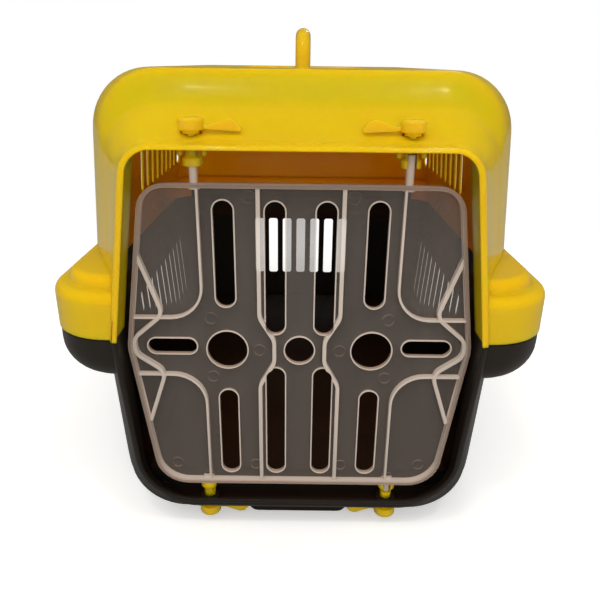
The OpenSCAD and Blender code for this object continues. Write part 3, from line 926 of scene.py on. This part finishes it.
# ---------- pieces ----------
@dataclass
class Shell:
    """What the two shells share: a moulded skin with the belt and the doorway's jamb."""

    half: Half
    node: str
    finish: MouldedPlastic
    slot: Slot
    form: BodyForm = FORM
    belt: BeltForm = BELT
    side_vent_w: float = 11.5
    side_vent_pitch: float = 22.5
    back_vent_w: float = 12.0
    back_vent_pitch: float = 19.0
    back_vent_reach: int = 3
    back_vent_depth: float = 15.0
    sharp_angle: float = 32.0

    def skin(self, inset: float = 0.0, past: float = 0.0) -> Solid:
        """Return the body's form drawn in by inset."""
        return Solid.loft(self.form.skin(self.half, inset, past), "skin")

    def band(self, inset: float = 0.0, past: float = 0.0) -> Solid:
        """Return the belt's form drawn in by inset."""
        return Solid.loft(self.belt.rings(self.half, inset, past))

    def jamb(self) -> Solid:
        """Return the straight wall behind the lip.

        Returns:
            The wall, open at its front and back.
        """
        form = self.form
        raked = self.half is Half.LOWER
        ys = steps(form.lip_rake + 2 if raked else 8.0, form.jamb_depth, 8)

        def face(first: float, inset: float, past: float, rest: Sequence[float]) -> Solid:
            """Return one face's solid, its first ring leaning with the lip."""
            rings = [form.section(first, inset, self.half, past, True, raked)]
            return Solid.loft(rings + [form.section(y, inset, self.half, past, True) for y in rest])

        outer = face(1.0, form.jamb_cover, 0, ys)
        return outer.cut(face(0.0, form.wall - form.jamb_cover, 1, ys[:-1] + [form.jamb_depth + 1]))

    def vent_row(self, first: float, count: int, limits: Callable[[int], Flat]) -> list[Solid]:
        """Return the cutters of one row of side vents.

        Args:
            first: Depth of the first vent.
            count: Number of vents.
            limits: Gives a vent's lower and upper end by its number.

        Returns:
            The cutters, each through both walls.
        """
        cutters = []
        for i in range(count):
            low, high = limits(i)
            outline = stadium(first + i * self.side_vent_pitch, low, high, self.side_vent_w)
            cutters.append(Solid.prism(outline, -FAR / 2, FAR / 2, along_x))
        return cutters

    def back_vents(self, low: float, high: float) -> list[Solid]:
        """Return the cutters of the back wall's vents.

        Args:
            low: Height of their lower ends.
            high: Height of their upper ends.

        Returns:
            The cutters.
        """
        start = self.form.length - self.back_vent_depth
        end = self.form.length + self.back_vent_depth
        cutters = []
        for i in range(-self.back_vent_reach, self.back_vent_reach + 1):
            outline = window(i * self.back_vent_pitch, low, high, self.back_vent_w)
            cutters.append(Solid.prism(outline, start, end, along_y))
        return cutters

    def dress(self, solid: Solid, name: str) -> bpy.types.Object:
        """Finish the shell's mesh and set its place in the frame.

        Args:
            solid: The shell's solid.
            name: Name of the piece.

        Returns:
            The dressed object.
        """
        obj = solid.obj
        obj.name = name
        obj.data.name = name
        finish_mesh(obj, self.sharp_angle)
        obj.data.materials.clear()
        obj.data.materials.append(self.finish.material())
        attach(obj, "shells")
        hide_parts(self.node)
        return obj


def finish_mesh(obj: bpy.types.Object, angle: float) -> None:
    """Weld an object's mesh and shade it smooth.

    Args:
        obj: The object.
        angle: Edges sharper than this stay sharp, in degrees.
    """
    bm = bmesh.new()
    bm.from_mesh(obj.data)
    bmesh.ops.remove_doubles(bm, verts=bm.verts, dist=WELD_REACH)
    bmesh.ops.dissolve_degenerate(bm, edges=bm.edges, dist=WELD_REACH)
    bm.to_mesh(obj.data)
    bm.free()
    for face in obj.data.polygons:
        face.use_smooth = True
    obj.data.set_sharp_from_angle(angle=math.radians(angle))


@dataclass
class BackStep:
    """The black shell's tab that rises into the back wall of the yellow one."""

    half_width: float = 149.0
    top_z: float = 181.0
    start: float = FORM.length - 36
    depth: float = 60.0

    def block(self, gap: float = 0.0) -> Solid:
        """Return the block that divides the two shells there, made larger by gap."""
        x = self.half_width + gap
        return box((-x, x), (self.start, self.start + self.depth), (FORM.seam_z - 1, self.top_z + gap))

    def surround(self) -> list[Solid]:
        """Return the boxes that leave only the tab of a whole upper form.

        Returns:
            The boxes before, above and beside it.
        """
        x = self.half_width
        reach, tall = FAR / 2, (100, 400)
        back = (self.start - 1, FAR)
        return [
            box((-reach, reach), (-20, self.start), tall),
            box((-reach, reach), back, (self.top_z, tall[1])),
            box((-reach, -x), back, tall),
            box((x, reach), back, tall),
        ]


@dataclass
class HandleRecess:
    """The recess in the roof that takes the folding handle, with the handle's bearings."""

    half_width: float = 52.0
    half_length: float = 74.0
    floor_z: float = 316.0
    corner_r: float = 14.0
    centre_y: float = 229.0
    span: float = 124.0
    pivot_z: float = 324.0
    bearing_r: float = 7.0
    bearing_gap: float = 9.6
    bearing_half: float = 2.7
    bore_r: float = 3.58
    bore_y: float = 71.0
    bore_half: float = 5.0

    def cutter(self) -> Solid:
        """Return the recess's space."""
        outline = rounded_rect(self.half_width, self.half_length, self.corner_r, self.centre_y)
        return Solid.prism(outline, self.floor_z, self.floor_z + 40, along_z)

    def tray(self) -> Solid:
        """Return the tray under the recess.

        Returns:
            The tray, up to just under the roof.
        """
        wall = FORM.wall
        x, y = self.half_width + wall, self.half_length + wall
        outline = rounded_rect(x, y, self.corner_r + wall, self.centre_y)
        tray = Solid.prism(outline, self.floor_z - wall, FORM.roof_z - 1, along_z)
        return tray.cut(self.cutter())

    def bearings(self) -> list[Solid]:
        """Return the two blocks that carry the handle's trunnions.

        Returns:
            The blocks, front and back.
        """
        r, half = self.bearing_r, self.bearing_half
        outline = arc(0, self.pivot_z, r, 0, 180, 14)
        outline += [(-r, self.floor_z - 1), (r, self.floor_z - 1)]
        blocks = []
        for s in SIDES:
            y = self.centre_y + s * (self.span / 2 + self.bearing_gap)
            blocks.append(Solid.prism(outline, y - half, y + half, along_y))
        return blocks

    def bores(self) -> list[Solid]:
        """Return the bores for the handle's trunnions.

        Returns:
            The cutters, front and back.
        """
        outline = circle(0, self.pivot_z, self.bore_r, 24)
        cutters = []
        for s in SIDES:
            y = self.centre_y + s * self.bore_y
            cutters.append(Solid.prism(outline, y - self.bore_half, y + self.bore_half, along_y))
        return cutters


@dataclass
class LatchSeats:
    """Places of the four latches and the bosses that carry them."""

    x: float = 68.0
    y: float = 28.0
    hole_r: float = 2.88
    hub_d: float = 16.0
    collar_d: float = 10.5
    collar_h: float = 2.2
    play: float = 1.5
    boss_wall: float = 3.5
    boss_reach: int = 14
    boss_cover: float = 0.8
    stop_x: float = 7.6
    stop_h: float = 7.4
    stop_r: float = 2.0
    sill_boss_r: float = 7.5
    sill_boss_h: float = 5.7
    shelf_low_z: float = 290.4
    shelf_top_z: float = FORM.lip_top_z + 3.6

    def shelf_bosses(self) -> list[Solid]:
        """Return the bosses under the shelf, with their two stop posts each.

        Returns:
            The bosses and posts, left and right.
        """
        solids = []
        r = self.hub_d / 2 + self.boss_wall
        for s in SIDES:
            x = s * self.x
            boss = post(x, self.y, r, self.shelf_low_z, self.shelf_low_z + 20)
            solids.append(boss.cut(self.above_shelf(x)))
            solids += [self.stop_post(x + t * self.stop_x) for t in SIDES]
        return solids

    def above_shelf(self, x: float) -> Solid:
        """Return the space over one boss, down to just under the shelf's top.

        Args:
            x: Place of the boss.

        Returns:
            The cutter.
        """
        reach = self.boss_reach
        lid_z = FORM.lip_top_z + 49
        under = [
            (self.y + d, FORM.roof(self.y + d, self.boss_cover)) for d in range(-reach, reach + 1, 2)
        ]
        lid = [(self.y + reach, lid_z), (self.y - reach, lid_z)]
        return Solid.prism(under + lid, x - reach, x + reach, along_x)

    def stop_post(self, x: float) -> Solid:
        """Return a small post with a round end.

        Args:
            x: Its place.

        Returns:
            The post.
        """
        r = self.stop_r
        y = FORM.front + self.y
        low = self.shelf_low_z - self.stop_h
        turn = steps(0, math.tau, 16)[:-1]
        end = [(math.sin(t), low - r * math.cos(t)) for t in steps(0.15, math.pi / 2, 5)]
        rings = [
            [(x + r * math.cos(a) * share, y + r * math.sin(a) * share, z) for a in turn]
            for share, z in end + [(1.0, self.shelf_low_z + 2)]
        ]
        return Solid.loft(rings)

    def cutters(self) -> list[Solid]:
        """Return the holes for the levers' shafts and the flats under their hubs.

        Returns:
            Three cutters for each upper latch.
        """
        cap_z = self.shelf_top_z + self.collar_h
        stages = [
            (self.hole_r, self.shelf_low_z - 1, self.shelf_low_z + 11),
            (self.collar_d / 2 + self.play, self.shelf_top_z, self.shelf_top_z + 10),
            (self.hub_d / 2 + self.play, cap_z, cap_z + 10),
        ]
        return [post(s * self.x, self.y, r, low, high) for s in SIDES for r, low, high in stages]

    def sill_cutters(self) -> list[Solid]:
        """Return the holes through the sill."""
        low, high = FORM.sill_z - 4, FORM.sill_z + 8
        return [post(s * self.x, self.y, self.hole_r, low, high) for s in SIDES]

    def sill_bosses(self) -> list[Solid]:
        """Return the low bosses on the sill."""
        low, high = FORM.sill_z, FORM.sill_z + self.sill_boss_h
        return [post(s * self.x, self.y, self.sill_boss_r, low, high) for s in SIDES]


@dataclass
class ClipSeats:
    """Places of the four side clips, with their catches and ears."""

    ys: Flat = (172.0, 372.0)
    width: float = 24.0
    pivot_z: float = 148.0
    stand_off: float = 3.6
    catch_z: float = 184.0
    catch_depth: float = 2.2
    catch_edge: float = 3.5
    catch_h: float = 7.0
    ear_r: float = 3.8
    ear_root: float = 8.0
    ear_half: float = 1.6
    play: float = 2.0
    bore_r: float = 1.88
    bore_half: float = 22.0

    @property
    def x(self) -> float:
        """Return the pivots' distance from the middle."""
        return BELT.form.belt_half_width + self.stand_off

    def catches(self) -> list[Solid]:
        """Return the catches on the upper shell.

        Returns:
            Four wedges, flat above and sloping below.
        """
        face = FORM.belt_half_width + CATCH_REACH
        root = face - self.catch_depth
        top, half = self.catch_z, self.width / 2 - self.play
        wedge = [(root, top), (face, top), (face, top - self.catch_edge), (root, top - self.catch_h)]
        return [
            Solid.prism([(s * x, z) for x, z in wedge], y - half, y + half, along_y)
            for s in SIDES
            for y in self.ys
        ]

    def ears(self) -> list[Solid]:
        """Return the ears on the lower shell.

        Returns:
            Two ears for each clip.
        """
        r, root = self.ear_r, self.ear_root
        profile = arc(0, 0, r, -90, 90, 12) + [(-root, r), (-root, -r)]
        ears = []
        for s in SIDES:
            outline = [(s * (self.x + u), self.pivot_z + v) for u, v in profile]
            for y in self.ys:
                for e in SIDES:
                    mid = y + e * (self.width / 2 + self.play)
                    ears.append(Solid.prism(outline, mid - self.ear_half, mid + self.ear_half, along_y))
        return ears

    def bores(self) -> list[Solid]:
        """Return the bores for the clips' trunnions."""
        half = self.bore_half
        return [
            Solid.prism(circle(s * self.x, self.pivot_z, self.bore_r, 20), y - half, y + half, along_y)
            for s in SIDES
            for y in self.ys
        ]


@dataclass
class TopShell(Shell):
    """The yellow shell: hood, shelf, upper belt, handle recess and vents."""

    recess: HandleRecess = field(default_factory=HandleRecess)
    latches: LatchSeats = field(default_factory=LatchSeats)
    clips: ClipSeats = field(default_factory=ClipSeats)
    vent_start: float = 252.0
    vent_count: int = 9
    vent_z: Flat = (214.0, 282.0)
    back_vent_z: Flat = (229.0, 284.0)
    step_gap: float = 0.2

    def build(self) -> bpy.types.Object:
        """Build and dress the upper shell.

        Returns:
            The dressed object.
        """
        wall = self.form.wall
        body = self.skin().join(self.band())
        body.cut(self.skin(wall, 1), self.band(wall, 1))
        body.join(self.jamb())
        body.cut(self.recess.cutter())
        body.join(
            self.recess.tray(),
            *self.recess.bearings(),
            *self.latches.shelf_bosses(),
            *self.clips.catches(),
        )
        body.cut(
            BackStep().block(self.step_gap),
            *self.vent_row(self.vent_start, self.vent_count, lambda i: self.vent_z),
            *self.back_vents(*self.back_vent_z),
            *self.latches.cutters(),
            *self.recess.bores(),
        )
        return self.dress(body, "upper_shell")


@dataclass
class BottomShell(Shell):
    """The black shell: sill, lower belt, raised floor, foot pads and vents."""

    floor_z: float = 34.0
    floor_half_width: float = 118.0
    floor_ys: Flat = (46.0, 432.0)
    front_pad: Point = (39.0, 11.5, 8.0)  # half width, half length and corner radius
    front_pad_y: float = 48.0
    pad: Point = (26.0, 15.0, 10.5)
    pad_x: float = 104.0
    pad_ys: Flat = (84.0, 384.0)
    vent_start: float = 217.0
    vent_count: int = 10
    vent_top_z: float = 120.0
    vent_h: Flat = (24.0, 78.0)
    vent_growth: float = 7.0
    back_vent_z: Flat = (59.0, 137.0)
    clips: ClipSeats = field(default_factory=ClipSeats)
    latches: LatchSeats = field(default_factory=LatchSeats)

    def feet(self) -> list[Solid]:
        """Return the foot pads.

        Returns:
            The middle front pad and the four near the corners.
        """
        front = rounded_rect(*self.front_pad, self.front_pad_y)
        pads = [Solid.prism(front, 0, self.form.sill_z + 1, along_z)]
        for s in SIDES:
            for y in self.pad_ys:
                outline = [(x + s * self.pad_x, v) for x, v in rounded_rect(*self.pad, y)]
                pads.append(Solid.prism(outline, 0, self.form.keel_z + 1.5, along_z))
        return pads

    def hollow(self) -> Solid:
        """Return the cabin's space above the raised floor.

        Returns:
            The cutter.
        """
        wall = self.form.wall
        x = self.floor_half_width
        hollow = self.skin(wall, 1).join(self.band(wall, 1))
        return hollow.cut(box((-x, x), self.floor_ys, (0, self.floor_z)))

    def tab(self) -> Solid:
        """Return the tab that rises into the yellow shell's back wall.

        Returns:
            The tab, cut from a whole upper form.
        """
        wall = self.form.wall
        upper = Shell(Half.UPPER, self.node, self.finish, self.slot)
        tab = upper.skin().join(upper.band())
        tab.cut(upper.skin(wall, 1), upper.band(wall, 1))
        return tab.cut(*BackStep().surround())

    def underside(self) -> Solid:
        """Return the space under the raised floor, open downwards.

        Returns:
            The cutter.
        """
        wall = self.form.wall
        x = self.floor_half_width - wall
        start, end = self.floor_ys[0] + wall + 11, self.floor_ys[1] - wall
        return box((-x, x), (start, end), (-1, self.floor_z - wall))

    def vent_limits(self, i: int) -> Flat:
        """Return the ends of side vent i; the vents get longer towards the back."""
        height = mix(*self.vent_h, clamp01(i / self.vent_growth))
        return (self.vent_top_z - height, self.vent_top_z)

    def build(self) -> bpy.types.Object:
        """Build and dress the lower shell.

        Returns:
            The dressed object.
        """
        body = self.skin().join(self.band())
        body.cut(self.hollow())
        body.join(
            self.jamb(),
            self.tab(),
            *self.feet(),
            *self.latches.sill_bosses(),
            *self.clips.ears(),
        )
        body.cut(
            self.underside(),
            *self.vent_row(self.vent_start, self.vent_count, self.vent_limits),
            *self.back_vents(*self.back_vent_z),
            *self.latches.sill_cutters(),
            *self.clips.bores(),
        )
        return self.dress(body, "lower_shell")


@dataclass
class CarriedPiece:
    """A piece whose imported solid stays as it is, with softened edges and its finish."""

    node: str
    finish: MouldedPlastic | ClearPlastic
    edge: float = 0.4
    edge_steps: int = 2
    edge_angle: float = 38.0

    def build(self) -> bpy.types.Object:
        """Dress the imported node.

        Returns:
            Its object.
        """
        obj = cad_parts[self.node]
        weld = obj.modifiers.new("weld", "WELD")
        weld.merge_threshold = WELD_REACH
        bevel = obj.modifiers.new("edge", "BEVEL")
        bevel.width = self.edge * MM
        bevel.segments = self.edge_steps
        bevel.limit_method = "ANGLE"
        bevel.angle_limit = math.radians(self.edge_angle)
        bevel.harden_normals = False
        for face in obj.data.polygons:
            face.use_smooth = True
        obj.data.materials.clear()
        obj.data.materials.append(self.finish.material())
        return obj


@dataclass(frozen=True)
class Lamp:
    """A rectangular lamp. Only the gloss lamps show in what glossy faces mirror."""

    name: str
    place: Point
    target: Point
    size: Flat
    power: float
    mirrored: bool = False
    colour: Colour = (1.0, 0.97, 0.92)

    def hang(self) -> None:
        """Add the lamp to the scene."""
        data = bpy.data.lights.new(self.name, "AREA")
        data.shape = "RECTANGLE"
        data.size, data.size_y = self.size
        data.energy = self.power
        data.color = self.colour
        obj = bpy.data.objects.new(self.name, data)
        obj.location = self.place
        aim = Vector(self.target) - Vector(self.place)
        obj.rotation_euler = aim.to_track_quat("-Z", "Y").to_euler()
        obj.visible_glossy = self.mirrored
        bpy.context.scene.collection.objects.link(obj)


LAMPS = (
    Lamp("key", (-0.5, -1.1, 1.7), (0, 0, 0.15), (1.6, 1.0), 8.5),
    Lamp("back", (0.2, 1.6, 1.5), (0, 0, 0.2), (1.6, 0.8), 5),
    Lamp("front", (0.15, -1.5, 0.55), (0, -0.1, 0.12), (0.7, 0.5), 8),
    Lamp("gloss_left", (-0.28, -0.9, 1.7), (0, 0, 0.2), (0.22, 0.05), 2.2, mirrored=True),
    Lamp("gloss_right", (0.42, -0.9, 1.7), (0, 0, 0.2), (0.24, 0.05), 2.4, mirrored=True),
    Lamp("gloss_back", (0.5, 1.4, 1.3), (0, 0, 0.2), (0.5, 0.06), 2.0, mirrored=True),
)


@dataclass
class Studio:
    """Pale floor, soft lamps and the camera at the photograph's place."""

    eye: Point = (0.0, -351.0, 336.0)
    pitch: float = 21.6
    roll: float = 0.7
    lens: float = 36.0
    fill: float = 0.58
    floor_r: float = 6000.0
    floor_lift: float = 0.33
    floor_pale: tuple[Colour, Colour] = ((0.90, 0.90, 0.89), (0.94, 0.94, 0.93))
    floor_bounce: Colour = (0.3, 0.29, 0.275)
    floor_fade: Flat = (0.45, 1.0)
    strengths: dict[str, float] = field(
        default_factory=lambda: {
            "Is Camera Ray": 1.0,
            "Is Transmission Ray": 1.0,
            "Is Glossy Ray": 0.11,
        }
    )

    def floor(self) -> bpy.types.Object:
        """Lay a wide pale floor.

        Returns:
            The floor's object.
        """
        ring = circle(0, 0, self.floor_r, 64)
        mesh = bpy.data.meshes.new("floor")
        mesh.from_pydata([(x * MM, y * MM, 0) for x, y in ring], [], [list(range(len(ring)))])
        obj = bpy.data.objects.new("floor", mesh)
        bpy.context.scene.collection.objects.link(obj)
        obj.data.materials.append(self.floor_finish())
        return obj

    def floor_finish(self) -> bpy.types.Material:
        """Make the floor's material, which fades to the backdrop's white.

        Returns:
            The material. What the camera sees is paler than what the floor throws back.
        """
        sheet = NodeSheet("floor_white")
        inputs = sheet.shader.inputs
        tone = sheet.ranged(sheet.noise(3.0), (0.3, 0.7), (0.0, 1.0))
        rays = sheet.add("ShaderNodeLightPath").outputs
        seen = sheet.math("MAXIMUM", rays["Is Camera Ray"], rays["Is Transmission Ray"])
        mirrored = sheet.math("MULTIPLY", rays["Is Glossy Ray"], self.strengths["Is Glossy Ray"])
        seen = sheet.math("MAXIMUM", seen, mirrored)
        pale = sheet.blend(tone, *self.floor_pale)
        sheet.link(sheet.blend(seen, self.floor_bounce, pale), inputs["Base Color"])
        inputs["Roughness"].default_value = 0.8
        inputs["Specular IOR Level"].default_value = 0.1
        inputs["Emission Color"].default_value = (1, 1, 1, 1)
        sheet.link(sheet.math("MULTIPLY", seen, self.floor_lift), inputs["Emission Strength"])
        reach = sheet.add("ShaderNodeVectorMath", operation="LENGTH")
        sheet.link(sheet.place, reach.inputs[0])
        fade = sheet.ranged(reach.outputs["Value"], self.floor_fade, (0.0, 1.0))
        both = sheet.add("ShaderNodeMixShader")
        sheet.link(sheet.math("MULTIPLY", fade, seen), both.inputs[0])
        sheet.link(sheet.shader.outputs[0], both.inputs[1])
        sheet.link(sheet.add("ShaderNodeEmission").outputs[0], both.inputs[2])
        sheet.link(both.outputs[0], sheet.tree.nodes["Material Output"].inputs["Surface"])
        return sheet.material

    def world(self) -> None:
        """Set a white backdrop, a soft fill and the quiet surround that glossy faces mirror."""
        world = bpy.data.worlds.new("studio")
        bpy.context.scene.world = world
        world.use_nodes = True
        tree = world.node_tree
        back = tree.nodes["Background"]
        back.inputs["Color"].default_value = (1, 1, 1, 1)
        path = tree.nodes.new("ShaderNodeLightPath")
        level: Socket | None = None
        for ray, strength in self.strengths.items():
            share = tree.nodes.new("ShaderNodeMath")
            share.operation = "MULTIPLY_ADD"
            tree.links.new(path.outputs[ray], share.inputs[0])
            share.inputs[1].default_value = strength - self.fill
            share.inputs[2].default_value = self.fill
            if level:
                tree.links.new(level, share.inputs[2])
            level = share.outputs[0]
        tree.links.new(level, back.inputs["Strength"])

    def camera(self) -> None:
        """Place the camera where the photograph was taken."""
        data = bpy.data.cameras.new("camera")
        data.lens = self.lens
        data.sensor_width = 36
        obj = bpy.data.objects.new("camera", data)
        x, y, z = self.eye
        obj.location = (x * MM, (FORM.front + y) * MM, z * MM)
        turn = Matrix.Rotation(math.radians(90 - self.pitch), 4, "X")
        obj.rotation_euler = (turn @ Matrix.Rotation(math.radians(self.roll), 4, "Z")).to_euler()
        bpy.context.scene.collection.objects.link(obj)
        bpy.context.scene.camera = obj

    def build(self) -> None:
        """Set up the whole studio."""
        self.floor()
        self.world()
        for lamp in LAMPS:
            lamp.hang()
        self.camera()
        bpy.context.scene.view_settings.view_transform = "Standard"


def main() -> None:
    """Build and dress every piece."""
    logging.basicConfig(level=logging.INFO, format="%(message)s")
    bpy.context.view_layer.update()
    Studio().build()
    pieces = [
        TopShell(Half.UPPER, "top_shell", YELLOW, Slot.YELLOW_SHELL, side_vent_w=10.0).build(),
        BottomShell(Half.LOWER, "bottom_shell", BLACK, Slot.BLACK_SHELL).build(),
    ]
    clear = ClearPlastic(
        "clear_smoky",
        sheet_colour=(0.142, 0.120, 0.104),
        side_colour=(0.70, 0.51, 0.40),
        # painted highlight colour of the door's rib and edge lines
        rim_highlight_colour=(0.72, 0.62, 0.54),
        sheet_front=FORM.front + LatchSeats().y + DOOR_BACK - DOOR_SHEET,
    )
    pieces.append(CarriedPiece("door", clear, 0.3).build())
    for name in sorted(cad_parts):
        if name.startswith(("latch", "clip", "handle")):
            pieces.append(CarriedPiece(name, YELLOW_FITTING).build())
    for piece in pieces:
        LOG.info("%s: %d faces", piece.name, len(piece.data.polygons))


if __name__ == "__main__":
    main()
